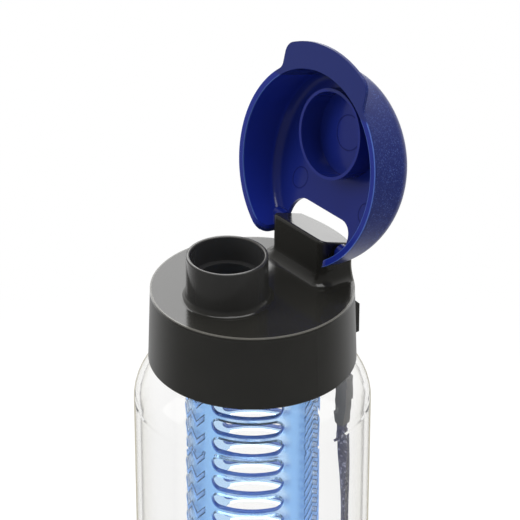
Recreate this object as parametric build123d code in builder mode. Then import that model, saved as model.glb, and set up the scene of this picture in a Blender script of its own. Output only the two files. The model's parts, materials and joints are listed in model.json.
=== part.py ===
"""Fruit infuser water bottle: clear bottle, screw cap with spout, flip lid, fruit basket, wrist strap.

Millimetres. Z is up and the bottle stands on Z = 0, with the origin under the bottle's axis.
The spout is at the front, -Y, and the lid's hinge and the strap are at the back, +Y.
The lid stands open, as in the photograph.
"""

import os
from math import atan2, cos, radians, sin, sqrt, tan

from build123d import *

os.makedirs("parts", exist_ok=True)

# Shared clearances
overrun = 1.0            # how far a cut runs past what it cuts
running_gap = 0.3        # between pieces that turn or slide on each other
seat_gap = 0.1           # round a piece that is pushed into its seat
pin_gap = 0.05           # round the hinge pin where the post turns on it
pin_grip_gap = 0.02      # round the hinge pin's ends, held in the lid

# Bottle
body_radius = 36.5
bottle_wall = 1.8
straight_top = 181.0     # height where the straight wall turns into the shoulder
shoulder_arc = 16.5
neck_radius = 27.9
neck_length = 20.3       # from the shoulder to the neck's rim
neck_wall = 2.0
neck_ring_step = 0.9     # bead low on the neck, inside the cap's skirt
neck_ring_height = 1.4
neck_ring_rise = 2.9     # from the shoulder to the bead
neck_rim_round = 0.6
base_corner = 7.0
foot_width = 4.5         # flat ring that the bottle stands on
dish_depth = 3.0

# Screw cap
cap_bore_gap = 0.5       # between the neck's bead and the cap's bore
cap_wall = 1.7           # at the top of the skirt
cap_flare = 0.9          # how much wider the skirt's foot is than its top
cap_plate = 2.2
cap_foot_gap = 0.6       # between the skirt's foot and the bottle's shoulder
cap_top_edge = 0.5
cap_foot_edge = 0.8
basket_boss_wall = 1.6
basket_boss_depth = 9.0

# Neck gasket
gasket_thickness = 1.6
gasket_overhang = 0.3    # inside the neck's bore
gasket_edge = 0.4

# Spout
spout_offset = 9.6       # from the bottle's axis towards the front
spout_radius = 12.4
spout_wall = 1.2
spout_height = 14.2
spout_ledge_drop = 8.0   # from the spout's rim down to the ledge inside it
spout_ledge = 2.0        # width of that ledge
spout_root = 1.8
spout_rim_round = 0.45

# Hinge post on the cap
post_half_width = 12.4
post_corner = 2.5        # round on the post's two front corners, seen from above
post_height = 14.8       # at its front edge
post_reach = 6.7         # from the hinge axis to the post's front face
post_top_slope = 20.0    # degrees that the post's top falls towards the back
post_root = 3.8
post_edge = 0.8
hinge_inset = 7.5        # from the cap's edge to the hinge axis
hinge_rise = 9.7         # hinge axis above the cap's top face
pin_radius = 1.5
pin_entry_length = 19.0  # from the middle plane to the pin's end, on the side that it enters
pin_blind_length = 15.0  # and on the other side

# Strap lug on the back of the cap
lug_half_width = 9.0
lug_height = 11.5
lug_drop = 12.7          # from the cap's top face down to the lug's top
lug_slot = 1.5           # from the skirt's foot to the bar that the strap goes round
lug_bar = 1.5            # thickness of that bar
lug_slot_margin = 0.8    # beside the strap in the slot
lug_bevel = 1.6

# Flip lid, sizes as it lies shut on the cap
lid_lift = 0.3           # lid's rim above the cap's top face
lid_wall = 1.9
lid_draft = 4.0          # degrees
lid_depth = 16.7         # from the rim to the highest line of the crown
lid_plate = 1.6
crown_arc = 112.0        # radius of the crowned top, seen from the side
crown_front = 12.0       # from the bottle's axis forward to the crown's highest line
lid_edge = 5.0
lid_inner_edge = 3.2
tab_reach = 6.3          # past the lid's edge
tab_half_width = 18.8
tab_thickness = 1.1
tab_corner = 4.5
tab_blend = 3.0
socket_wall = 1.0
socket_gap = 0.5         # round the spout when the lid is shut
socket_sink = 7.1        # from the lid's rim in to the socket's rim
notch_side_gap = 1.4     # between the post and the notch's sides
notch_front_gap = 1.6
notch_corner = 5.5
notch_flare = 4.0
ear_root = 3.7           # how far the ear's web reaches past the notch's side
ear_radius = 2.5
ear_gap = 0.7            # between the ear and the post
lid_open_angle = 104.0

# Infuser basket
basket_radius = 20.5
basket_wall = 1.6
basket_turn = 47.0       # degrees from the front to the middle of the windows
basket_foot = 50.0       # height of the tube's lower end
joint_drop = 29.1        # from the cap's top face down to the joint of collar and tube
joint_overlap = 9.0     # how far the tube's neck reaches up inside the collar
joint_bevel = 0.4        # on the edges that meet there
window_width = 20.8
window_height = 4.6
window_pitch = 6.64
window_corner = 2.1
window_rows = 20
base_flange = 2.0
base_plug_height = 6.0
drain_radius = 1.8
drain_circle = 11.5
drain_count = 6

# Wrist strap, a flat webbing loop through the lug, and the slider on it
strap_width = 4.0
strap_thickness = 1.0
strap_bend_share = 0.45  # of the shorter run beside a corner, taken by its arc
slider_height = 19.0
slider_drop = 45.0       # from the cap's top face down to the slider's top
slider_side_wall = 1.1   # beside the strap, at the slider's widest line
slider_end_wall = 0.7
slider_depth = 4.6
slider_widest_share = 0.4  # of the slider's height, from its top to its widest line
slider_round = 0.8
leg_spacing = 1.8

# Heights and places that follow
shoulder_middle = body_radius - shoulder_arc
shoulder_top = straight_top + sqrt(shoulder_arc**2 - (neck_radius - shoulder_middle) ** 2)
neck_rim = shoulder_top + neck_length
neck_ring_radius = neck_radius + neck_ring_step
cap_bore_radius = neck_ring_radius + cap_bore_gap
cap_top_radius = cap_bore_radius + cap_wall
cap_foot_radius = cap_top_radius + cap_flare
cap_under = neck_rim + gasket_thickness
cap_top = cap_under + cap_plate
cap_foot = straight_top + sqrt(shoulder_arc**2 - (cap_bore_radius - shoulder_middle) ** 2) + cap_foot_gap
lug_reach = cap_foot_radius + lug_slot + lug_bar
hinge_back = cap_top_radius - hinge_inset
post_front = hinge_back - post_reach
hinge_height = cap_top + hinge_rise
lid_radius = cap_top_radius
notch_front = post_front - notch_front_gap
notch_half_width = post_half_width + notch_side_gap
lid_rim = cap_top + lid_lift
crown_top = lid_rim + lid_depth
ear_inner = post_half_width + ear_gap
ear_outer = notch_half_width + ear_root
tab_radius = lid_radius + tab_reach
joint_height = cap_top - joint_drop
half_strip = (window_pitch - window_height) / 2
basket_bore = basket_radius - basket_wall
tube_neck_radius = basket_bore - running_gap
tube_neck_bore = tube_neck_radius - basket_wall
hinge_axis = Axis((0, hinge_back, hinge_height), (1, 0, 0))
window_plane = Plane(
    origin=(0, 0, 0),
    x_dir=(cos(radians(basket_turn)), sin(radians(basket_turn)), 0),
    z_dir=(sin(radians(basket_turn)), -cos(radians(basket_turn)), 0),
)


def write(piece, name):
    """Labels a finished piece and writes it to its own file."""
    piece.part.label = name
    export_step(piece.part, f"parts/{name}.step")


def edges_at(shape, height):
    """The shape's circular edges at a height."""
    circles = shape.edges().filter_by(GeomType.CIRCLE)
    return circles.filter_by_position(Axis.Z, height - seat_gap, height + seat_gap)


# Bottle: a straight wall, an arched shoulder and a wide neck, inside and outside on one outline


def vessel(inset, neck, top):
    """Solid of revolution inside the bottle's outline, moved in by inset."""
    arc = shoulder_arc - inset
    shoulder_rise = sqrt(arc**2 - (neck - shoulder_middle) ** 2)
    half_turn = atan2(shoulder_rise, neck - shoulder_middle) / 2
    arc_middle = (shoulder_middle + arc * cos(half_turn), straight_top + arc * sin(half_turn))
    wall = body_radius - inset
    with BuildPart() as shape:
        with BuildSketch(Plane.XZ):
            with BuildLine():
                dish_edge = (body_radius - base_corner - foot_width, inset)
                dish = TangentArc((0, dish_depth + inset), dish_edge, tangent=(1, 0))
                foot = Line(dish @ 1, (body_radius - base_corner, inset))
                corner = TangentArc(foot @ 1, (wall, base_corner), tangent=(1, 0))
                side = Line(corner @ 1, (wall, straight_top))
                shoulder = ThreePointArc(side @ 1, arc_middle, (neck, straight_top + shoulder_rise))
                throat = Line(shoulder @ 1, (neck, top))
                mouth = Line(throat @ 1, (0, top))
                Line(mouth @ 1, dish @ 0)
            make_face()
        revolve(axis=Axis.Z)
    return shape.part


bottle_outside = vessel(0, neck_radius, neck_rim)
bottle_inside = vessel(bottle_wall, neck_radius - neck_wall, neck_rim + overrun)

with BuildPart() as bottle:
    add(bottle_outside)
    with BuildSketch(Plane.XY.offset(shoulder_top + neck_ring_rise)):
        Circle(neck_ring_radius)
    extrude(amount=neck_ring_height)
    add(bottle_inside, mode=Mode.SUBTRACT)
    fillet(bottle.faces().sort_by(Axis.Z)[-1].edges(), neck_rim_round)
write(bottle, "bottle")


# Gasket between the bottle's rim and the cap

with BuildPart() as neck_gasket:
    with BuildSketch(Plane.XY.offset(neck_rim)):
        Circle(neck_ring_radius)
        Circle(neck_radius - neck_wall - gasket_overhang, mode=Mode.SUBTRACT)
    extrude(amount=gasket_thickness)
    fillet(neck_gasket.edges().group_by(Axis.Z)[0], gasket_edge)
write(neck_gasket, "neck_gasket")


# Screw cap with its hinge post, strap lug and spout

post_back = cap_top_radius + overrun
post_fall = (post_back - post_front) * tan(radians(post_top_slope))

# The post stands on a piece of the top face, and its back follows the cap's wall
with BuildPart() as hinge_post:
    with BuildSketch(Plane.XY.offset(cap_under)):
        with Locations((0, post_back)):
            Rectangle(
                2 * (post_half_width + post_root + overrun),
                2 * (post_back - post_front + post_root + overrun),
            )
    extrude(amount=cap_plate)
    with BuildSketch(Plane.YZ):
        with BuildLine():
            Polyline(
                (post_front, cap_under),
                (post_front, cap_top + post_height),
                (post_back, cap_top + post_height - post_fall),
                (post_back, cap_under),
                close=True,
            )
        make_face()
    extrude(amount=post_half_width, both=True)
    uprights = hinge_post.edges().filter_by(Axis.Z)
    fillet(uprights.filter_by_position(Axis.Y, post_front - seat_gap, post_front + seat_gap), post_corner)
    feet = hinge_post.edges().filter_by_position(Axis.Z, cap_top - seat_gap, cap_top + seat_gap)
    feet = feet.filter_by_position(Axis.X, -post_half_width - seat_gap, post_half_width + seat_gap)
    fillet(feet.filter_by_position(Axis.Y, post_front - seat_gap, post_back - seat_gap), post_root)
    with BuildSketch(Plane.XY.offset(cap_under)):
        Circle(cap_top_radius)
    extrude(amount=cap_plate + post_height + overrun, mode=Mode.INTERSECT)
    fillet(hinge_post.faces().sort_by(Axis.Z)[-1].edges(), post_edge)

# The lug is a belt loop: two cheeks and a flat bar, with a slot behind the bar
lug_top = cap_top - lug_drop
slot_half_width = strap_width / 2 + lug_slot_margin

with BuildPart() as strap_lug:
    with BuildSketch(Plane.YZ):
        with BuildLine():
            Polyline(
                (cap_bore_radius, lug_top - lug_height),
                (lug_reach, lug_top - lug_height),
                (lug_reach, lug_top - lug_bevel),
                (lug_reach - lug_bevel, lug_top),
                (cap_bore_radius, lug_top),
                close=True,
            )
        make_face()
    extrude(amount=lug_half_width, both=True)
    with BuildSketch(Plane.XY.offset(lug_top - lug_height - overrun)):
        with BuildLine():
            Polyline(
                (-slot_half_width, lug_reach - lug_bar),
                (slot_half_width, lug_reach - lug_bar),
                (slot_half_width, 0),
                (-slot_half_width, 0),
                close=True,
            )
        make_face()
    extrude(amount=lug_height + 2 * overrun, mode=Mode.SUBTRACT)

with BuildPart() as screw_cap:
    with BuildSketch(Plane.XZ):
        with BuildLine():
            Polyline((0, cap_foot), (cap_foot_radius, cap_foot), (cap_top_radius, cap_top), (0, cap_top), close=True)
        make_face()
    revolve(axis=Axis.Z)
    fillet(screw_cap.faces().sort_by(Axis.Z)[0].edges(), cap_foot_edge)
    add(strap_lug.part)
    with BuildSketch(Plane.XY.offset(cap_under)):
        with Locations((0, -spout_offset)):
            Circle(spout_radius)
    extrude(amount=cap_plate + spout_height)
    spout_foot = edges_at(screw_cap, cap_top).filter_by(lambda edge: abs(edge.radius - spout_radius) < spout_wall)
    fillet(spout_foot, spout_root)
    add(hinge_post.part)

    # Room for the bottle's neck, with a boss in the middle for the basket's collar
    with BuildSketch(Plane.XY.offset(cap_foot - overrun)):
        Circle(cap_bore_radius)
    extrude(amount=cap_under - cap_foot + overrun, mode=Mode.SUBTRACT)
    with BuildSketch(Plane.XY.offset(cap_under)):
        Circle(basket_radius + running_gap + basket_boss_wall)
        Circle(basket_radius + running_gap, mode=Mode.SUBTRACT)
    extrude(amount=-basket_boss_depth)

    # Spout bore, narrower below its ledge
    with BuildSketch(Plane.XY.offset(cap_top + spout_height)):
        with Locations((0, -spout_offset)):
            Circle(spout_radius - spout_wall)
    extrude(amount=-spout_ledge_drop, mode=Mode.SUBTRACT)
    with BuildSketch(Plane.XY.offset(cap_under - overrun)):
        with Locations((0, -spout_offset)):
            Circle(spout_radius - spout_wall - spout_ledge)
    extrude(amount=cap_plate + spout_height + overrun, mode=Mode.SUBTRACT)
    fillet(edges_at(screw_cap, cap_top + spout_height), spout_rim_round)

    # Hole for the hinge pin
    with BuildSketch(Plane.YZ):
        with Locations((hinge_back, hinge_height)):
            Circle(pin_radius + pin_gap)
    extrude(amount=post_half_width + overrun, both=True, mode=Mode.SUBTRACT)
write(screw_cap, "screw_cap")


# Flip lid: a cup with a crowned top, modelled shut and then swung open on the hinge


def crowned_cup(radius, crown, edge):
    """Drafted disc from the lid's rim up to a crowned top, which meets the side in a round."""
    with BuildPart() as cup:
        with BuildSketch(Plane.XY.offset(lid_rim)):
            Circle(radius)
        extrude(amount=crown - lid_rim + overrun, taper=lid_draft)
        with BuildSketch(Plane.YZ):
            with Locations((-crown_front, crown - crown_arc)):
                Circle(crown_arc)
        extrude(amount=radius + overrun, both=True, mode=Mode.INTERSECT)
        fillet(cup.faces().sort_by(Axis.Z)[-1].edges(), edge)
    return cup.part


lid_outside = crowned_cup(lid_radius, crown_top, lid_edge)
lid_inside = crowned_cup(lid_radius - lid_wall, crown_top - lid_plate, lid_inner_edge)
lid_middle = crowned_cup(
    lid_radius - lid_wall / 2,
    crown_top - lid_plate / 2,
    (lid_edge + lid_inner_edge) / 2,
)
socket_bore = spout_radius + socket_gap
tab_foot = sqrt(lid_radius**2 - tab_half_width**2)

# Ears that hold the hinge pin, hung from the lid's plate beside the post
with BuildPart() as lid_ears:
    with BuildSketch(Plane.YZ.offset(ear_inner)):
        with Locations((hinge_back, hinge_height)):
            Circle(ear_radius)
    extrude(amount=ear_outer - ear_inner)
    with BuildSketch(Plane.YZ.offset(notch_half_width)):
        with Locations((hinge_back, hinge_height)):
            Rectangle(2 * ear_radius, lid_depth, align=(Align.CENTER, Align.MIN))
    extrude(amount=ear_outer - notch_half_width)
    mirror(about=Plane.YZ)
    add(lid_middle, mode=Mode.INTERSECT)

with BuildPart() as shut_lid:
    add(lid_outside)
    with BuildSketch(Plane.XY.offset(lid_rim)) as tab_outline:
        Circle(tab_radius)
        with Locations((0, -tab_radius / 2)):
            Rectangle(2 * tab_half_width, tab_radius, mode=Mode.INTERSECT)
        fillet(tab_outline.vertices().group_by(Axis.Y)[0], tab_corner)
        Circle(lid_radius)
        tab_feet = tab_outline.vertices().filter_by_position(Axis.Y, -tab_foot - seat_gap, -tab_foot + seat_gap)
        fillet(tab_feet, tab_blend)
    extrude(amount=tab_thickness)
    add(lid_inside, mode=Mode.SUBTRACT)

    # Socket that closes over the spout
    with BuildSketch(Plane.XY.offset(lid_rim + socket_sink)):
        with Locations((0, -spout_offset)):
            Circle(socket_bore + socket_wall)
            Circle(socket_bore, mode=Mode.SUBTRACT)
    extrude(amount=lid_depth - socket_sink - lid_plate / 2)

    # Notch that the post comes through, open at the back and flared at the rim
    with BuildSketch(Plane.XY.offset(lid_rim - overrun)) as notch:
        with Locations((0, notch_front)):
            Rectangle(2 * notch_half_width, lid_radius, align=(Align.CENTER, Align.MIN))
        fillet(notch.vertices().group_by(Axis.Y)[0], notch_corner)
    extrude(amount=lid_depth + 2 * overrun, mode=Mode.SUBTRACT)
    with BuildSketch(Plane.XZ.offset(-notch_front)):
        with Locations((0, lid_rim - overrun)):
            Rectangle(
                2 * (notch_half_width + notch_flare), notch_flare + overrun, align=(Align.CENTER, Align.MIN)
            )
        with Locations(
            (-notch_half_width - notch_flare, lid_rim + notch_flare),
            (notch_half_width + notch_flare, lid_rim + notch_flare),
        ):
            Circle(notch_flare, mode=Mode.SUBTRACT)
    extrude(amount=-lid_radius, mode=Mode.SUBTRACT)

    add(lid_ears.part)
    with BuildSketch(Plane.YZ.offset(pin_blind_length + seat_gap)):
        with Locations((hinge_back, hinge_height)):
            Circle(pin_radius + pin_grip_gap)
    extrude(amount=-pin_blind_length - lid_radius, mode=Mode.SUBTRACT)

with BuildPart() as flip_lid:
    add(shut_lid.part.rotate(hinge_axis, -lid_open_angle))
write(flip_lid, "flip_lid")

with BuildPart() as hinge_pin:
    with BuildSketch(Plane.YZ.offset(-pin_entry_length)):
        with Locations((hinge_back, hinge_height)):
            Circle(pin_radius)
    extrude(amount=pin_entry_length + pin_blind_length)
    chamfer(hinge_pin.edges().filter_by(GeomType.CIRCLE), pin_radius / 5)
write(hinge_pin, "hinge_pin")


# Infuser basket: a collar in the cap, a tube that twists into it, and a base that closes the tube


def window_cutters(heights):
    """Bars that cut rows of windows through the front and the back of the basket."""
    with BuildPart() as cutters:
        with BuildSketch(window_plane):
            with Locations(*[(0, height) for height in heights]):
                RectangleRounded(window_width, window_height, window_corner)
        extrude(amount=basket_radius + overrun, both=True)
    return cutters.part


def joint_edge(shape, height):
    """Outer edge of the basket's wall at the joint."""
    return edges_at(shape, height).filter_by(lambda edge: edge.radius > basket_bore + seat_gap)


first_window = half_strip + window_height / 2
window_heights = [joint_height - first_window - row * window_pitch for row in range(window_rows)]

with BuildPart() as basket_collar:
    with BuildSketch(Plane.XY.offset(joint_height)):
        Circle(basket_radius)
        Circle(basket_bore, mode=Mode.SUBTRACT)
    extrude(amount=cap_under - joint_height)
    chamfer(joint_edge(basket_collar, joint_height), joint_bevel)
write(basket_collar, "basket_collar")

tube_top = joint_height - seat_gap

with BuildPart() as basket_tube:
    with BuildSketch(Plane.XY.offset(basket_foot)):
        Circle(basket_radius)
    extrude(amount=tube_top - basket_foot)
    with BuildSketch(Plane.XY.offset(tube_top)):
        Circle(tube_neck_radius)
    extrude(amount=joint_overlap)
    with BuildSketch(Plane.XY.offset(basket_foot - overrun)):
        Circle(basket_bore)
    extrude(amount=tube_top - half_strip - basket_foot + overrun, mode=Mode.SUBTRACT)
    with BuildSketch(Plane.XY.offset(basket_foot)):
        Circle(tube_neck_bore)
    extrude(amount=tube_top + joint_overlap + overrun - basket_foot, mode=Mode.SUBTRACT)
    add(window_cutters(window_heights), mode=Mode.SUBTRACT)
    chamfer(joint_edge(basket_tube, tube_top), joint_bevel)
write(basket_tube, "basket_tube")

with BuildPart() as basket_base:
    with BuildSketch(Plane.XY.offset(basket_foot - base_flange)):
        Circle(basket_radius)
    extrude(amount=base_flange)
    with BuildSketch(Plane.XY.offset(basket_foot)):
        Circle(basket_bore - seat_gap)
        Circle(basket_bore - seat_gap - basket_wall, mode=Mode.SUBTRACT)
    extrude(amount=base_plug_height)
    with BuildSketch(Plane.XY.offset(basket_foot - base_flange - overrun)):
        Circle(drain_radius)
        with PolarLocations(drain_circle, drain_count):
            Circle(drain_radius)
    extrude(amount=base_flange + 2 * overrun, mode=Mode.SUBTRACT)
    foot_edge = basket_base.faces().sort_by(Axis.Z)[0].edges().sort_by(SortBy.RADIUS)[-1]
    fillet(foot_edge, base_flange / 3)
write(basket_base, "basket_base")


# Wrist strap: one webbing loop over the lug's bar, both legs through the slider

slot_middle = (cap_foot_radius + lug_reach - lug_bar) / 2
outside_bar = lug_reach + running_gap + strap_thickness / 2
over_bar = lug_top + running_gap + strap_thickness / 2
slider_middle = body_radius + running_gap + slider_depth / 2
inner_leg = slider_middle - leg_spacing / 2
outer_leg = slider_middle + leg_spacing / 2

# The strap's route, seen from the side: distance behind the bottle's axis, and height
strap_route = [
    (outer_leg, 160.0),
    (outer_leg, 183.5),
    (outside_bar, 193.5),
    (outside_bar, over_bar),
    (slot_middle, over_bar),
    (slot_middle, 192.9),
    (inner_leg, 185.1),
    (inner_leg, 150.0),
    (39.6, 118.0),
    (38.9, 64.0),
    (37.8, 30.0),
    (42.5, 16.0),
    (52.5, 11.5),
    (60.5, 21.0),
    (59.0, 38.0),
    (50.0, 56.0),
    (43.6, 78.0),
    (41.9, 112.0),
    (41.2, 136.0),
    (outer_leg, 152.5),
    (outer_leg, 157.5),
]


def corner_radii(route, share):
    """Radius of each corner's arc: as large as the shorter run beside it allows."""
    radii = []
    for before, here, after in zip(route, route[1:], route[2:]):
        run_in = Vector(*here) - Vector(*before)
        run_out = Vector(*after) - Vector(*here)
        half_turn = radians(run_in.get_angle(run_out)) / 2
        radii.append(share * min(run_in.length, run_out.length) / tan(half_turn))
    return radii


strap_radii = corner_radii(strap_route, strap_bend_share)

with BuildPart() as wrist_strap:
    with BuildLine(Plane.YZ) as strap_line:
        FilletPolyline(*strap_route, radius=strap_radii)
    with BuildSketch(Plane(origin=strap_line.line @ 0, x_dir=(1, 0, 0), z_dir=strap_line.line % 0)):
        Rectangle(strap_width, strap_thickness)
    sweep(path=strap_line.line)
write(wrist_strap, "wrist_strap")
strap_length = sum(edge.length for edge in strap_line.edges())
print("strap radii", [round(radius, 1) for radius in strap_radii])
print("strap length", round(strap_length, 1))
print("strap volume", round(wrist_strap.part.volume, 1))
print("section by length", round(strap_width * strap_thickness * strap_length, 1))

slider_top = cap_top - slider_drop
slider_side = strap_width / 2 + slider_side_wall
slider_end = strap_width / 2 + slider_end_wall

with BuildPart() as strap_slider:
    with BuildSketch(Plane.XZ.offset(-slider_middle)) as slider_outline:
        with BuildLine():
            Polyline(
                (-slider_end, slider_top),
                (slider_end, slider_top),
                (slider_side, slider_top - slider_widest_share * slider_height),
                (slider_end, slider_top - slider_height),
                (-slider_end, slider_top - slider_height),
                (-slider_side, slider_top - slider_widest_share * slider_height),
                close=True,
            )
        make_face()
        fillet(slider_outline.vertices(), slider_round)
    extrude(amount=slider_depth / 2, both=True)
    chamfer(strap_slider.faces().sort_by(Axis.Y)[-1].edges(), slider_round)
    with BuildSketch(Plane.XY.offset(slider_top - slider_height - overrun)):
        with Locations((0, slider_middle)):
            Rectangle(strap_width + 2 * seat_gap, leg_spacing + strap_thickness + 2 * seat_gap)
    extrude(amount=slider_height + 2 * overrun, mode=Mode.SUBTRACT)
write(strap_slider, "strap_slider")
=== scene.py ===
"""Looks of the fruit infuser water bottle: camera, light, floor, wrist strap, finishes and fine detail.

Metres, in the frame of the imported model: Z is up, the spout is towards -Y, the hinge and the strap
towards +Y, and the bottle stands on Z = 0.
"""

import json
from math import copysign, cos, pi, radians, sin

import bmesh
import bpy
from mathutils import Matrix, Vector


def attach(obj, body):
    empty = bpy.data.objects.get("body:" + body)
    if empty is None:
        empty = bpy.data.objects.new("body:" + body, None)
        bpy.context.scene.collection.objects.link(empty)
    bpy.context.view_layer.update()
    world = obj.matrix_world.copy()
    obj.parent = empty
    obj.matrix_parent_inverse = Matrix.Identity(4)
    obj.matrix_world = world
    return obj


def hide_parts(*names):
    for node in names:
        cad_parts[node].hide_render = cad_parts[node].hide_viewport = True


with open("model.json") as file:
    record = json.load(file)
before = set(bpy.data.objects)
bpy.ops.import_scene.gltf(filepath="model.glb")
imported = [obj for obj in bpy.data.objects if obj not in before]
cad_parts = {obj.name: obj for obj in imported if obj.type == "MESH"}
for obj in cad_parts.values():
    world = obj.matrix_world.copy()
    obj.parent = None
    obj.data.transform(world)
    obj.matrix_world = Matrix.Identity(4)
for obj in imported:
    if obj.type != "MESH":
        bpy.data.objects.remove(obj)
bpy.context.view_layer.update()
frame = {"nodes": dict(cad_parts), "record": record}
scene = bpy.context.scene
mm = 0.001

# Sizes of the object that the detail is fitted to
cap_top = 0.219586
cap_top_radius = 0.031
cap_bore_radius = 0.0293
spout_offset = 0.0096
spout_bore = 0.0112
spout_top = 0.233786
neck_radius = 0.0279
neck_foot = 0.195486
basket_radius = 0.0205
basket_joint = 0.190486
window_pitch = 0.00664
window_rows = 20
window_top = 0.187166              # centre of the first row
window_half_width = 0.0104
window_half_height = 0.0023
window_corner = 0.0021
window_direction = radians(47.0)   # from the front, towards the right
hinge_point = (0.0, 0.0235, 0.229286)
lid_open_angle = radians(104.0)
lid_rim = 0.219886
lid_radius = 0.031
lid_wall = 0.0019
lid_draft_slope = 0.0699
tab_line = 0.0215                  # how far in front of the axis the tab leaves the lid's rim
crown_radius = 0.112
crown_centre = (0.0, -0.012, 0.124586)
lid_plate = 0.0016


# Camera, at the photograph's angle

camera_azimuth = radians(52.07)
camera_elevation = radians(29.80)
camera_distance = 0.974
away = Vector((
    sin(camera_azimuth) * cos(camera_elevation),
    -cos(camera_azimuth) * cos(camera_elevation),
    sin(camera_elevation),
))
camera_data = bpy.data.cameras.new("camera")
camera_data.sensor_width = 36.0
camera_data.lens = 223.1
camera_data.shift_x = 0.0146
camera_data.shift_y = 0.0508
camera = bpy.data.objects.new("camera", camera_data)
scene.collection.objects.link(camera)
camera.location = Vector((0.0, 0.0, cap_top)) + camera_distance * away
camera.rotation_euler = away.to_track_quat("Z", "Y").to_euler()
scene.camera = camera
scene.view_settings.view_transform = "Standard"


# Mesh helpers

weld_distance = 0.001 * mm
spin_step = radians(3.0)


def add_piece(name, shape, body, finish, smooth=True):
    """Turns a finished bmesh into an object that rides on a body."""
    bmesh.ops.remove_doubles(shape, verts=shape.verts, dist=weld_distance)
    bmesh.ops.recalc_face_normals(shape, faces=shape.faces)
    mesh = bpy.data.meshes.new(name)
    shape.to_mesh(mesh)
    shape.free()
    for face in mesh.polygons:
        face.use_smooth = smooth
    mesh.materials.append(finish.material)
    piece = bpy.data.objects.new(name, mesh)
    scene.collection.objects.link(piece)
    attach(piece, body)
    return piece


def profile_face(shape, points):
    """A small face in the XZ plane, the section that a thread or a rib is spun from."""
    corners = [bmesh.ops.create_vert(shape, co=(x, 0.0, z))["vert"][0] for x, z in points]
    return bmesh.ops.contextual_create(shape, geom=corners)["faces"][0]


def spun_bar(shape, points, start_angle, arms):
    """Spins a section round the bottle's axis along arms of (angle, rise)."""
    face = profile_face(shape, points)
    bmesh.ops.rotate(shape, verts=face.verts, cent=(0, 0, 0), matrix=Matrix.Rotation(start_angle, 3, "Z"))
    geometry = [face] + list(face.edges) + list(face.verts)
    for angle, rise in arms:
        steps = max(1, round(abs(angle) / spin_step))
        geometry = bmesh.ops.spin(
            shape,
            geom=geometry,
            cent=(0, 0, 0),
            axis=(0, 0, 1),
            dvec=(0, 0, rise / steps),
            angle=angle,
            steps=steps,
            use_duplicate=False,
        )["geom_last"]


# Shader helpers


class Number:
    """A number that changes over a surface. Arithmetic on it adds Math nodes."""

    def __init__(self, finish, socket):
        self.finish = finish
        self.socket = socket

    def math(self, operation, *others):
        """The result of one Math node."""
        node = self.finish.node("Math", {"operation": operation}, dict(enumerate((self, *others))))
        return Number(self.finish, node.outputs[0])

    def __add__(self, other):
        return self.math("ADD", other)

    def __sub__(self, other):
        return self.math("SUBTRACT", other)

    def __mul__(self, other):
        return self.math("MULTIPLY", other)

    def __truediv__(self, other):
        return self.math("DIVIDE", other)

    def __rsub__(self, other):
        node = self.finish.node("Math", {"operation": "SUBTRACT"}, {0: other, 1: self})
        return Number(self.finish, node.outputs[0])

    __radd__ = __add__

    def rise(self, low, high):
        """0 below low, 1 above high, and smooth between them."""
        settings = {"interpolation_type": "SMOOTHSTEP", "clamp": True}
        node = self.finish.node("MapRange", settings, {"Value": self, "From Min": low, "From Max": high})
        return Number(self.finish, node.outputs[0])


def distance(across, onwards):
    """How far away a point is that lies so far across and so far onwards."""
    return (across * across + onwards * onwards).math("SQRT")


def with_alpha(colour):
    """A colour as a node takes it: a socket, or four numbers."""
    return colour if isinstance(colour, bpy.types.NodeSocket) else (*colour, 1.0)


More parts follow.
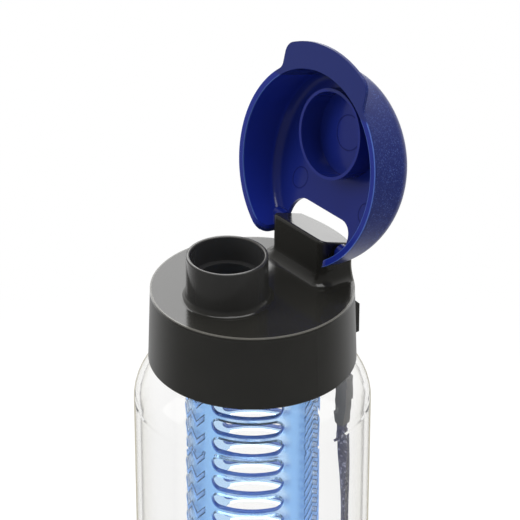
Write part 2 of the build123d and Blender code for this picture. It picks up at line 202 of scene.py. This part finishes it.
class Finish:
    """The look of a record slot, of the floor or of the room, and the one way that its nodes are added."""

    def __init__(self, slot, owner=None):
        self.slot = slot
        self.material = owner or bpy.data.materials.new(slot)
        self.material.use_nodes = True
        self.tree = self.material.node_tree
        self.tree.nodes.clear()

    def node(self, kind, settings=None, values=None):
        made = self.tree.nodes.new("ShaderNode" + kind)
        for name, setting in (settings or {}).items():
            setattr(made, name, setting)
        for place, value in (values or {}).items():
            if isinstance(value, Number):
                value = value.socket
            if isinstance(value, bpy.types.NodeSocket):
                self.tree.links.new(value, made.inputs[place])
            else:
                made.inputs[place].default_value = value
        return made

    def place(self):
        """Object coordinates, in metres."""
        return self.node("TexCoord").outputs["Object"]

    def parts(self, vector):
        """The three numbers of a vector."""
        node = self.node("SeparateXYZ", values={0: vector})
        return [Number(self, output) for output in node.outputs]

    def vector_math(self, operation, *vectors):
        """The results of arithmetic on vectors, by name: Vector and Value."""
        return self.node("VectorMath", {"operation": operation}, dict(enumerate(vectors))).outputs

    def length(self, vector):
        return Number(self, self.vector_math("LENGTH", vector)["Value"])

    def mapped(self, vector, scale=(1, 1, 1), rotation=(0, 0, 0)):
        values = {"Vector": vector, "Scale": scale, "Rotation": rotation}
        return self.node("Mapping", values=values).outputs[0]

    def attribute(self, name):
        """A number that the mesh carries at each of its vertices."""
        return Number(self, self.node("Attribute", {"attribute_name": name}).outputs["Fac"])

    def noise(self, vector, scale, detail, roughness=0.5):
        values = {"Vector": vector, "Scale": scale, "Detail": detail, "Roughness": roughness}
        return Number(self, self.node("TexNoise", values=values).outputs["Fac"])

    def cells(self, vector, scale):
        """A random number for each small cell of the surface."""
        node = self.node("TexVoronoi", {"feature": "F1"}, {"Vector": vector, "Scale": scale})
        return self.parts(node.outputs["Color"])[0]

    def colour(self, mask, low, high):
        """The colour low where the mask is 0, and high where it is 1. Either may be a socket."""
        low_socket, high_socket, result_socket = 6, 7, 2     # places of the Mix node's colours
        values = {"Factor": mask, low_socket: with_alpha(low), high_socket: with_alpha(high)}
        return self.node("Mix", {"data_type": "RGBA"}, values).outputs[result_socket]

    def bump(self, height, relief):
        """A normal from a height; relief is how far the height's 1 stands out, in metres."""
        values = {"Height": height, "Distance": relief, "Strength": 1.0}
        return self.node("Bump", values=values).outputs[0]

    def principled(self, **values):
        sockets = {name.replace("_", " "): value for name, value in values.items()}
        return self.node("BsdfPrincipled", values=sockets).outputs[0]

    def open_way(self, tint):
        """Lets light straight through, tinted."""
        return self.node("BsdfTransparent", values={"Color": with_alpha(tint)}).outputs[0]

    def glow(self, level):
        """A grey or white that needs no light."""
        return self.node("Emission", values={"Color": with_alpha((level, level, level))}).outputs[0]

    def mix(self, factor, first, second):
        return self.node("MixShader", values={0: factor, 1: first, 2: second}).outputs[0]

    def surface(self, shader):
        self.node("OutputMaterial", values={"Surface": shader})
        return self


# Finishes


def see_through(finish, body, tint):
    """Lets light through a clear piece onto what is behind it, tinted."""
    shadow_ray = finish.node("LightPath").outputs["Is Shadow Ray"]
    return finish.mix(shadow_ray, body, finish.open_way(tint))


def clear_plastic():
    """Clear copolyester with a blown bottle's faint flow marks, and painted shade where its wall is seen
    edge-on: a warm smoky tint, far darker than the plastic's own.
    """
    finish = Finish("clear_plastic")
    place = finish.place()
    flow = finish.noise(finish.mapped(place, scale=(1, 1, 0.3)), 30.0, 1.0)
    haze = finish.noise(place, 120.0, 3.0)
    along_wall = Number(finish, finish.node("LayerWeight", values={"Blend": 0.5}).outputs["Facing"])
    head_on_colour = (0.999, 0.998, 0.994)
    # Painted shade: seen edge-on, the wall turns a warm grey, far past the plastic's own faint tint
    edge_on_shade_colour = (0.68, 0.655, 0.57)
    body = finish.principled(
        Base_Color=finish.colour(along_wall.rise(0.5, 1.0), head_on_colour, edge_on_shade_colour),
        Roughness=haze * 0.01,
        IOR=1.3,     # below the real plastic's, which would turn the whole bottle grey
        Transmission_Weight=1.0,
        Normal=finish.bump(flow, 0.03 * mm),
    )
    # Painted shade along the outline: edge-on, light goes straight through with a dark warm tint
    edge_on_shade = finish.open_way((0.69, 0.67, 0.60))
    edge_shaded = finish.mix(along_wall.rise(0.79, 0.93) * 0.95, body, edge_on_shade)
    return finish.surface(see_through(finish, edge_shaded, (0.95, 0.95, 0.945)))


def cap_plastic():
    """Near-black grey polypropylene: polished on top, satin on the skirt, with painted light on the spout
    and in its bore, and a painted highlight along the top's edge and the spout's rim.
    """
    finish = Finish("cap_plastic")
    place = finish.place()
    x, y, z = finish.parts(place)
    grain = finish.noise(place, 2600.0, 3.0)
    cloud = finish.noise(place, 90.0, 2.0)
    off_axis = distance(x, y)
    off_spout = distance(x, y + spout_offset)
    above_top = z.rise(cap_top, cap_top + 2.0 * mm)

    skirt = off_axis.rise(cap_top_radius - 0.8 * mm, cap_top_radius - 0.4 * mm)
    skirt = skirt * (1 - z.rise(cap_top - 1.3 * mm, cap_top - 0.9 * mm))
    top_edge = off_axis.rise(cap_top_radius - 0.55 * mm, cap_top_radius - 0.35 * mm)
    top_edge = top_edge * z.rise(cap_top - 0.5 * mm, cap_top - 0.3 * mm)
    bore = (1 - off_spout.rise(spout_bore, spout_bore + 0.2 * mm)) * above_top
    spout = (1 - off_spout.rise(spout_bore + 1.4 * mm, spout_bore + 3.0 * mm)) * above_top
    spout_edge = 1 - off_spout.rise(spout_bore + 0.7 * mm, spout_bore + 0.9 * mm)
    spout_edge = spout_edge * z.rise(spout_top - 0.3 * mm, spout_top - 0.1 * mm)

    main_grey = finish.colour(cloud, (0.018, 0.0175, 0.0155), (0.0225, 0.022, 0.0195))
    # Painted light: the spout and its bore in a lighter grey, for light inside the spout
    spout_painted_light_grey = (0.038, 0.038, 0.039)
    # Painted highlight: a light line along the top's edge and the spout's rim
    highlight_grey = (0.16, 0.155, 0.14)
    lighter = (spout * 0.45).math("MAXIMUM", bore)
    painted_highlight = (top_edge * 0.8).math("MAXIMUM", spout_edge * 0.25)
    grey = finish.colour(lighter, main_grey, spout_painted_light_grey)
    shader = finish.principled(
        Base_Color=finish.colour(painted_highlight, grey, highlight_grey),
        Roughness=0.13 + cloud * 0.06 + skirt * 0.24,
        IOR=1.5,
        Normal=finish.bump(grain * (0.15 + skirt * 0.85), 0.012 * mm),
    )
    return finish.surface(shader)


ejector_marks = (     # right of the lid's middle, back and radius, with the lid shut
    (-14.5 * mm, 10.5 * mm, 3.2 * mm),
    (16.8 * mm, 10.0 * mm, 3.2 * mm),
    (0.0, -9.6 * mm, 5.4 * mm),
)


def lid_plastic():
    """Saturated dark blue, glossy inside the lid with round ejector marks and a painted highlight along the
    edges of its rim; finely grained outside, with flakes that are painted lighter as their glints.
    """
    finish = Finish("lid_plastic")
    place = finish.place()
    from_hinge = finish.vector_math("SUBTRACT", place, hinge_point)["Vector"]
    turned = finish.mapped(from_hinge, rotation=(lid_open_angle, 0, 0))
    shut = finish.vector_math("ADD", turned, hinge_point)["Vector"]
    x, y, z = finish.parts(shut)
    above_rim = z - lid_rim
    past_wall = distance(x, y) + above_rim * lid_draft_slope - (lid_radius - lid_wall / 2)
    wall_side = past_wall.rise(-0.1 * mm, 0.1 * mm)
    from_crown = finish.vector_math("SUBTRACT", shut, crown_centre)["Vector"]
    past_plate = finish.length(finish.mapped(from_crown, scale=(0, 1, 1))) - (crown_radius - lid_plate / 2)
    crown_side = past_plate.rise(-0.1 * mm, 0.1 * mm)
    off_rim = above_rim.rise(0.15 * mm, 0.5 * mm)
    outside = wall_side.math("MAXIMUM", crown_side) * off_rim

    def ring_mark(right, back, radius):
        """A shallow round line that an ejector pin left on the plate."""
        off_line = (distance(x - right, y - back) - radius).math("ABSOLUTE")
        return 1 - off_line.rise(0.08 * mm, 0.26 * mm)

    marks = sum(ring_mark(*mark) for mark in ejector_marks) * (1 - outside)
    grain = finish.noise(place, 2400.0, 3.0, 0.6)
    cloud = finish.noise(place, 70.0, 2.0)
    # The plastic's flakes outside, painted lighter as their glints, the same under any light
    glinting_flakes = finish.cells(place, 4600.0).rise(0.8, 1.0) * outside
    behind_tab = y.rise(-tab_line - 1.0 * mm, -tab_line)
    # Painted highlight: a thin lighter line along both edges of the lid's rim, behind the tab
    off_edge = (past_wall.math("ABSOLUTE") - lid_wall / 2).math("ABSOLUTE")
    rim_highlight = (1 - off_edge.rise(0.04 * mm, 0.2 * mm)) * (1 - above_rim.rise(0.2 * mm, 0.5 * mm))
    rim_highlight = rim_highlight * behind_tab
    near_wall = past_wall.rise(-lid_wall / 2 - 0.3 * mm, -lid_wall / 2 - 0.1 * mm) * behind_tab

    inner_blue = finish.colour(cloud, (0.0075, 0.0165, 0.16), (0.010, 0.0205, 0.195))
    outer_blue = finish.colour(grain, (0.0008, 0.005, 0.075), (0.002, 0.013, 0.14))
    tab_blue = (0.011, 0.020, 0.13)
    wall_blue = (0.014, 0.030, 0.34)
    mark_blue = (0.002, 0.004, 0.06)
    glinting_flake_blue = (0.10, 0.17, 0.5)
    # Colour of the painted highlight on the rim
    rim_highlight_blue = (0.07, 0.14, 0.45)
    blue = finish.colour(1 - behind_tab, inner_blue, tab_blue)
    blue = finish.colour(near_wall * (0.2 + off_rim * 0.25), blue, wall_blue)
    blue = finish.colour(outside, blue, outer_blue)
    blue = finish.colour(marks * 0.55, blue, mark_blue)
    blue = finish.colour(glinting_flakes * 0.4, blue, glinting_flake_blue)
    blue = finish.colour(rim_highlight * 0.8, blue, rim_highlight_blue)
    shader = finish.principled(
        Base_Color=blue,
        Roughness=0.14 + outside * 0.20 + cloud * 0.04,
        IOR=1.48,
        Normal=finish.bump(grain * outside * 0.35 - marks, 0.08 * mm),
    )
    return finish.surface(shader)


def window_lip_shade(x, y, z):
    """1 on the lip below and beside each window of the basket, where its wall turns inwards, and on a thin
    band of the wall round it: where the lip is darkened with painted shade.
    """
    across = (x * cos(window_direction) + y * sin(window_direction)).math("ABSOLUTE")
    rows_down = ((window_top - z) / window_pitch).math("MAXIMUM", 0.0).math("MINIMUM", window_rows - 1.0)
    height = z - window_top + rows_down.math("ROUND") * window_pitch
    past_side = across - (window_half_width - window_corner)
    past_top = height.math("ABSOLUTE") - (window_half_height - window_corner)
    outside = distance(past_side.math("MAXIMUM", 0.0), past_top.math("MAXIMUM", 0.0)) - window_corner
    near = 1 - outside.rise(0.25 * mm, 0.60 * mm)
    return near * (1 - height.rise(-0.9 * mm, 1.0 * mm))


def basket_plastic():
    """Light blue tinted plastic, with painted shade in a dark saturated blue on the lip of each window, and
    hazy in the raised ribs.
    """
    finish = Finish("basket_plastic")
    place = finish.place()
    x, y, z = finish.parts(place)
    on_wall = 1 - distance(x, y).rise(basket_radius, basket_radius + 0.1 * mm)
    lip_shade_mask = window_lip_shade(x, y, z) * on_wall
    grain = finish.noise(place, 900.0, 2.0)
    cloud = finish.noise(place, 60.0, 2.0)
    fine_grain = finish.bump(grain, 0.01 * mm)
    skin = finish.principled(
        Base_Color=finish.colour(cloud, (0.56, 0.765, 1.0), (0.61, 0.80, 1.0)),
        Roughness=0.16 + grain * 0.08,
        IOR=1.24,
        Transmission_Weight=0.96,
        Normal=fine_grain,
    )
    # Painted shade: a dark saturated blue without transmission on the lips, for the dark cut faces of the
    # wall
    lip_shade = finish.principled(
        Base_Color=finish.colour(grain, (0.03, 0.085, 0.37), (0.04, 0.11, 0.43)),
        Roughness=0.3 + grain * 0.1,
        IOR=1.3,
        Normal=fine_grain,
    )
    hazy = finish.principled(
        Base_Color=finish.colour(grain, (0.34, 0.55, 0.95), (0.40, 0.61, 0.98)),
        Roughness=0.25 + grain * 0.1,
        IOR=1.03,
        Transmission_Weight=0.5,
        Normal=fine_grain,
    )
    body = finish.mix(lip_shade_mask * 0.85, skin, lip_shade)
    body = finish.mix((1 - on_wall) * 0.95, body, hazy)
    return finish.surface(see_through(finish, body, (0.6, 0.76, 0.93)))


def seal_rubber():
    """Translucent white silicone."""
    finish = Finish("seal_rubber")
    grain = finish.noise(finish.place(), 700.0, 2.0)
    shader = finish.principled(
        Base_Color=finish.colour(grain, (0.62, 0.63, 0.63), (0.7, 0.71, 0.71)),
        Roughness=0.5 + grain * 0.1,
        Subsurface_Weight=0.3,
        Subsurface_Scale=2.0 * mm,
        Normal=finish.bump(grain, 0.01 * mm),
    )
    return finish.surface(shader)


def pin_steel():
    """Drawn steel wire, with lines along the pin."""
    finish = Finish("pin_steel")
    lines = finish.noise(finish.mapped(finish.place(), scale=(0.04, 1, 1)), 6000.0, 2.0)
    shader = finish.principled(
        Base_Color=finish.colour(lines, (0.42, 0.42, 0.43), (0.56, 0.56, 0.57)),
        Metallic=1.0,
        Roughness=0.24 + lines * 0.14,
        Normal=finish.bump(lines, 0.004 * mm),
    )
    return finish.surface(shader)


def slider_plastic():
    """Dark grey plastic with a spark-eroded grain."""
    finish = Finish("slider_plastic")
    grain = finish.noise(finish.place(), 3000.0, 3.0)
    shader = finish.principled(
        Base_Color=finish.colour(grain, (0.05, 0.05, 0.052), (0.08, 0.08, 0.082)),
        Roughness=0.42 + grain * 0.12,
        Normal=finish.bump(grain, 0.02 * mm),
    )
    return finish.surface(shader)


cord_pitch = 0.8 * mm
twill_pitch = 1.6 * mm


def strap_webbing():
    """Navy webbing: raised warp cords in a twill, with lighter threads showing between them."""
    finish = Finish("strap_webbing")
    along = finish.attribute("along")
    across = finish.attribute("across")
    cords = (across * (2 * pi / cord_pitch)).math("SINE")
    twill = (along * (2 * pi / twill_pitch) + across * (2 * pi / twill_pitch)).math("SINE")
    weave = cords * twill
    fibre = finish.noise(finish.place(), 5000.0, 2.0)
    fleck = (weave + fibre).rise(0.9, 1.3)
    spots = finish.cells(finish.place(), 1300.0).rise(0.84, 0.88)
    light_threads = (fleck * 0.4).math("MAXIMUM", spots * 0.8)
    navy = finish.colour(fibre, (0.004, 0.0065, 0.05), (0.011, 0.0155, 0.105))
    shader = finish.principled(
        Base_Color=finish.colour(light_threads, navy, (0.38, 0.38, 0.52)),
        Roughness=0.75 + fibre * 0.15,
        Sheen_Weight=0.1,
        Sheen_Roughness=0.4,
        Normal=finish.bump(weave * 0.5 + 0.5 + fibre * 0.25, 0.12 * mm),
    )
    return finish.surface(shader)


finishes = {
    finish.slot: finish
    for finish in (
        clear_plastic(),
        cap_plastic(),
        lid_plastic(),
        basket_plastic(),
        seal_rubber(),
        pin_steel(),
        slider_plastic(),
        strap_webbing(),
    )
}

for row in frame["record"]["subparts"]:
    node = frame["nodes"][row["node"]]
    for place in node.material_slots:
        place.material = finishes[row["material_slot"]].material


# Wrist strap: the route of the webbing, behind the bottle's axis and up, then the strap along its spline

strap_width = 0.0040
strap_thickness = 0.0010
strap_route = [
    (0.0400, 0.1600),
    (0.0400, 0.1835),
    (0.0357, 0.1935),
    (0.0357, 0.2085),
    (0.0325, 0.2085),
    (0.0325, 0.1919),
    (0.0382, 0.1861),
    (0.0382, 0.1500),
    (0.0396, 0.1180),
    (0.0389, 0.0640),
    (0.0378, 0.0300),
    (0.0425, 0.0160),
    (0.0525, 0.0115),
    (0.0605, 0.0210),
    (0.0590, 0.0380),
    (0.0500, 0.0560),
    (0.0430, 0.0780),
    (0.0416, 0.1120),
    (0.0412, 0.1360),
    (0.0400, 0.1525),
    (0.0400, 0.1575),
]
strap_twist = radians(-30.0)     # of both legs below the slider, which turns their edges forward
strap_lean = radians(26.0)       # of the inner leg just below the slider
twist_heights = (0.045, 0.085, 0.122, 0.148)     # where a turn starts, is whole, lessens and has ended
lean_heights = (0.136, 0.149, 0.149, 0.156)
section_corners = 20
width_power = 0.35               # below 1, an oval section grows towards a rectangle
thickness_power = 0.6


def spline_points(route):
    """The smooth line that a route's points control, read from its NURBS spline."""
    line = bpy.data.curves.new("strap_line", "CURVE")
    line.dimensions = "3D"
    spline = line.splines.new("NURBS")
    spline.points.add(len(route) - 1)
    for point, (back, height) in zip(spline.points, route):
        point.co = (0.0, back, height, 1.0)
    spline.order_u = 3
    spline.use_endpoint_u = True
    spline.resolution_u = 24
    holder = bpy.data.objects.new("strap_line", line)
    scene.collection.objects.link(holder)
    mesh = bpy.data.meshes.new_from_object(holder)
    points = [vertex.co.copy() for vertex in mesh.vertices]
    bpy.data.objects.remove(holder)
    bpy.data.meshes.remove(mesh)
    return points


def ramp(value, low, high):
    """0 below low, 1 above high, and smooth between them."""
    share = min(max((value - low) / (high - low), 0.0), 1.0)
    return share * share * (3 - 2 * share)


def swell(value, start, whole, lessening, end):
    """0 outside start and end, 1 from whole to lessening, and smooth between them."""
    return ramp(value, start, whole) * (1 - ramp(value, lessening, end))


def strap_sides(points, place):
    """Which way the strap's width and its thickness lie at a point of its line."""
    before = points[max(place - 1, 0)]
    after = points[min(place + 1, len(points) - 1)]
    direction = (after - before).normalized()
    height = points[place].z
    turned = strap_twist * swell(height, *twist_heights)
    if place < len(points) / 2:
        turned += strap_lean * swell(height, *lean_heights)
    sideways = Matrix.Rotation(turned, 3, "Z") @ Vector((1.0, 0.0, 0.0))
    sideways = (sideways - sideways.dot(direction) * direction).normalized()
    return sideways, direction.cross(sideways)


def woven_strap(points):
    """Webbing of a rounded flat section along the points, which lie in the YZ plane."""
    shape = bmesh.new()
    along = shape.verts.layers.float.new("along")
    across = shape.verts.layers.float.new("across")
    travelled = 0.0
    last_edges = None
    for place, point in enumerate(points):
        if place:
            travelled += (point - points[place - 1]).length
        sideways, outward = strap_sides(points, place)
        ring = bmesh.ops.create_circle(shape, segments=section_corners, radius=1.0)["verts"]
        for vertex in ring:
            wide = copysign(strap_width / 2 * abs(vertex.co.x) ** width_power, vertex.co.x)
            thick = copysign(strap_thickness / 2 * abs(vertex.co.y) ** thickness_power, vertex.co.y)
            vertex[across] = wide
            vertex[along] = travelled
            vertex.co = point + wide * sideways + thick * outward
        edges = list({edge for vertex in ring for edge in vertex.link_edges})
        if last_edges:
            bmesh.ops.bridge_loops(shape, edges=last_edges + edges)
        else:
            bmesh.ops.contextual_create(shape, geom=ring)
        last_edges = edges
    bmesh.ops.contextual_create(shape, geom=ring)
    return shape


strap_line = spline_points(strap_route)
strap = add_piece("woven_strap", woven_strap(strap_line), "cap", finishes["strap_webbing"])
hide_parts("wrist_strap")


# Threads on the neck and in the cap

thread_height = 0.65 * mm
thread_seat = 0.1 * mm
thread_width = 2.2 * mm
thread_pitch = 4.4 * mm
thread_turns = 1.75
thread_foot = neck_foot + 6.8 * mm


def screw_thread(name, wall_radius, outward, low, body, slot):
    """One helical thread of a rounded section, standing out of a wall."""
    half = thread_width / 2
    crest = wall_radius + outward * thread_height
    root = wall_radius - outward * thread_seat
    section = [
        (root, low - half),
        (crest, low - half / 3),
        (crest, low + half / 3),
        (root, low + half),
    ]
    shape = bmesh.new()
    spun_bar(shape, section, 0.0, [(thread_turns * 2 * pi, thread_turns * thread_pitch)])
    return add_piece(name, shape, body, finishes[slot], smooth=False)


screw_thread("neck_thread", neck_radius, 1, thread_foot, "bottle", "clear_plastic")
screw_thread("cap_thread", cap_bore_radius, -1, thread_foot + thread_pitch / 2, "cap", "cap_plastic")


# Raised zigzag ribs on the basket's sides, -1 for the side left of the windows and 1 for the right

rib_half_width = {-1: 1.25 * mm, 1: 1.0 * mm}
rib_height = 0.22 * mm
rib_seat = 0.1 * mm
rib_rows = 19
rib_drop = 4.0 * mm                                   # of the first right row below the basket's joint
rib_left_lift = 2.0 * mm                              # of each left row over its right one
rib_start = {-1: radians(40.0), 1: radians(56.0)}     # from the windows
rib_arms = {                                          # degrees and millimetres of each arm, going backwards
    -1: ((11.0, -4.2), (9.0, 2.8)) * 4,
    1: ((14.0, 3.6), (12.0, -3.0)) * 3,
}


def zigzag_rib(shape, height, side):
    """One row of a zigzag on one side of the basket."""
    half = rib_half_width[side]
    flank = 0.45 * half
    flank_radius = basket_radius + 0.6 * rib_height
    section = [
        (basket_radius - rib_seat, height - half),
        (flank_radius, height - flank),
        (basket_radius + rib_height, height),
        (flank_radius, height + flank),
        (basket_radius - rib_seat, height + half),
    ]
    start = window_direction - pi / 2 + side * rib_start[side]
    arms = [(side * radians(turn), rise * mm) for turn, rise in rib_arms[side]]
    spun_bar(shape, section, start, arms)


rib_shape = bmesh.new()
for row in range(rib_rows):
    row_height = basket_joint - rib_drop - row * window_pitch
    zigzag_rib(rib_shape, row_height + rib_left_lift, -1)
    zigzag_rib(rib_shape, row_height, 1)
    zigzag_rib(rib_shape, row_height - window_pitch / 2, 1)
add_piece("tube_ribs", rib_shape, "basket", finishes["basket_plastic"])


# The studio: white where the camera sees it, and mirrored as white behind the object and dim in front

onward = Vector((-sin(camera_azimuth), cos(camera_azimuth), 0.0))
rightward = Vector((cos(camera_azimuth), sin(camera_azimuth), 0.0))
backdrop_white = 1.0
room_dim = 0.15                  # of what is mirrored of the room's front
mirrored_range = (-0.2, 0.95)    # from dim to white, as the cosine of the angle to the backdrop
room_fill = 0.6                  # of the light that the room gives
paper_range = (0.10, 0.40)       # how far from the axis the paper starts to whiten, and is white
lamp_target = Vector((0.0, 0.0, 0.19))


def ray_kinds(finish):
    """Whether a ray is the camera's own, came through a clear piece, or was mirrored."""
    rays = finish.node("LightPath").outputs
    # A ray through a clear piece counts as glossy too, but only a mirrored one adds to the glossy depth
    mirrored = Number(finish, rays["Is Glossy Ray"]) * Number(finish, rays["Glossy Depth"]).rise(0.4, 0.6)
    through = Number(finish, rays["Is Transmission Ray"]) * (1 - mirrored)
    return Number(finish, rays["Is Camera Ray"]), through, mirrored


def towards_backdrop(finish, vector):
    """0 in front of the object and 1 at the backdrop, by direction from the bottle's axis."""
    direction = finish.vector_math("NORMALIZE", vector)["Vector"]
    cosine = finish.vector_math("DOT_PRODUCT", direction, tuple(onward))["Value"]
    return Number(finish, cosine).rise(*mirrored_range)


def floor_finish():
    """Pale paper that keeps the shadow near the object, white further out and behind clear pieces."""
    finish = Finish("floor")
    place = finish.place()
    seen, through, mirrored = ray_kinds(finish)
    paper = finish.node("BsdfDiffuse", values={"Color": with_alpha((0.86, 0.86, 0.855))}).outputs[0]
    white = finish.glow(backdrop_white)
    dim = finish.glow(room_dim)
    whitened = seen * finish.length(place).rise(*paper_range) + through
    shown = finish.mix(whitened, paper, white)
    reflected = finish.mix(towards_backdrop(finish, place), dim, white)
    return finish.surface(finish.mix(mirrored, shown, reflected))


floor_shape = bmesh.new()
bmesh.ops.create_circle(floor_shape, cap_ends=True, segments=96, radius=4.0)
floor_mesh = bpy.data.meshes.new("floor")
floor_shape.to_mesh(floor_mesh)
floor_shape.free()
floor_mesh.materials.append(floor_finish().material)
floor = bpy.data.objects.new("floor", floor_mesh)
scene.collection.objects.link(floor)


def studio_room():
    """Room light, and what the object mirrors of the room."""
    world = bpy.data.worlds.new("room")
    room = Finish("room", owner=world)
    seen, through, mirrored = ray_kinds(room)
    behind = towards_backdrop(room, room.node("TexCoord").outputs["Generated"])
    mirror_level = room_dim + behind * (backdrop_white - room_dim)
    shown = seen.math("MAXIMUM", through)
    level = shown * backdrop_white + (1 - shown) * (mirrored * mirror_level + (1 - mirrored) * room_fill)
    tone = room.colour(shown, (1.0, 0.995, 0.98), (1.0, 1.0, 1.0))
    light = room.node("Background", values={"Color": tone, "Strength": level})
    room.node("OutputWorld", values={"Surface": light.outputs[0]})
    return world


def soft_box(name, right, back, up, size, power, mirrored):
    """An area light placed as the camera sees it: to the right of the axis, away from the camera, and up.

    Where mirrored is false, glossy pieces are lit by it but don't show it.
    """
    light = bpy.data.lights.new(name, "AREA")
    light.shape = "RECTANGLE"
    light.size, light.size_y = size
    light.energy = power
    holder = bpy.data.objects.new(name, light)
    place = right * rightward + back * onward + Vector((0.0, 0.0, up))
    holder.location = place
    holder.rotation_euler = (place - lamp_target).to_track_quat("Z", "Y").to_euler()
    holder.visible_glossy = mirrored
    scene.collection.objects.link(holder)


scene.world = studio_room()
soft_box("back_box", -0.30, 1.15, 0.92, (0.8, 0.5), 3.2, True)
soft_box("low_back_box", 0.20, 1.40, 0.30, (0.6, 0.3), 0.8, True)
soft_box("top_box", 0.1, 0.1, 1.4, (0.9, 0.9), 8.0, True)
soft_box("left_box", -1.1, -0.1, 0.75, (0.6, 1.1), 5.4, False)
soft_box("left_strip", -1.1, -0.1, 0.75, (0.14, 1.0), 0.6, True)
soft_box("right_box", 1.0, -0.15, 0.85, (0.6, 1.1), 4.5, False)
